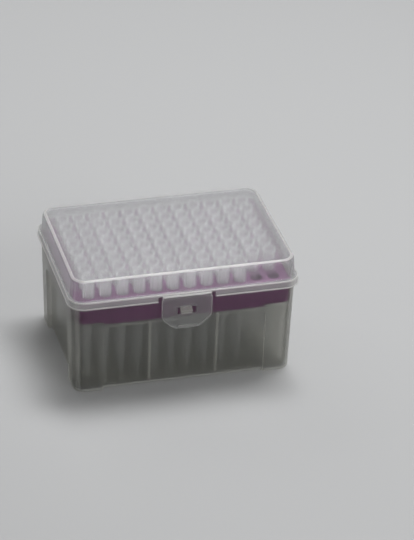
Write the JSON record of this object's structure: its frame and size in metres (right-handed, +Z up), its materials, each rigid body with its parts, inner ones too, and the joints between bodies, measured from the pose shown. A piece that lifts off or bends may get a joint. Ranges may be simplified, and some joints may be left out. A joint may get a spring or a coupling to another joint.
{
  "type": "box of pipette tips",
  "caption": "Clear hinged rack box with a snap latch, holding pipette tips on a regular grid in a purple perforated rack.",
  "frame": {"origin": "bottom centre of the whole closed box, on the plane of its four feet", "axes": "+X to the right along the front, +Y to the hinge at the back, +Z up; the latch faces -Y"},
  "size_m": [0.1232, 0.0933, 0.0668],
  "materials": {
    "box_clear": "translucent polypropylene, faintly milky",
    "lid_clear": "translucent polypropylene, faintly milky",
    "rack_purple": "satin moulded",
    "tip_clear": "translucent polypropylene, glossy"
  },
  "bodies": {
    "base": {"base_box": "box_clear", "rack": "rack_purple", "tips_01_front": "tip_clear", "tips_01_rear": "tip_clear", "tips_02_front": "tip_clear", "tips_02_rear": "tip_clear", "tips_03_front": "tip_clear", "tips_03_rear": "tip_clear", "tips_04_front": "tip_clear", "tips_04_rear": "tip_clear", "tips_05_front": "tip_clear", "tips_05_rear": "tip_clear", "tips_06_front": "tip_clear", "tips_06_rear": "tip_clear", "tips_07_front": "tip_clear", "tips_07_rear": "tip_clear", "tips_08_front": "tip_clear", "tips_08_rear": "tip_clear", "tips_09_front": "tip_clear", "tips_09_rear": "tip_clear", "tips_10_front": "tip_clear", "tips_10_rear": "tip_clear", "tips_11_front": "tip_clear", "tips_11_rear": "tip_clear", "tips_12_front": "tip_clear", "tips_12_rear": "tip_clear"},
    "lid": {"lid": "lid_clear"},
    "latch": {"latch_flap": "lid_clear"}
  },
  "joints": [
    {"name": "lid_hinge", "type": "hinge", "parent": "base", "child": "lid", "pos_m": [0, 0.04509, 0.05295], "axis": [-1, 0, 0], "range_deg": [0, 110]},
    {"name": "latch_hinge", "type": "hinge", "parent": "lid", "child": "latch", "pos_m": [0, -0.04427, 0.05475], "axis": [-1, 0, 0], "range_deg": [0, 100]}
  ]
}
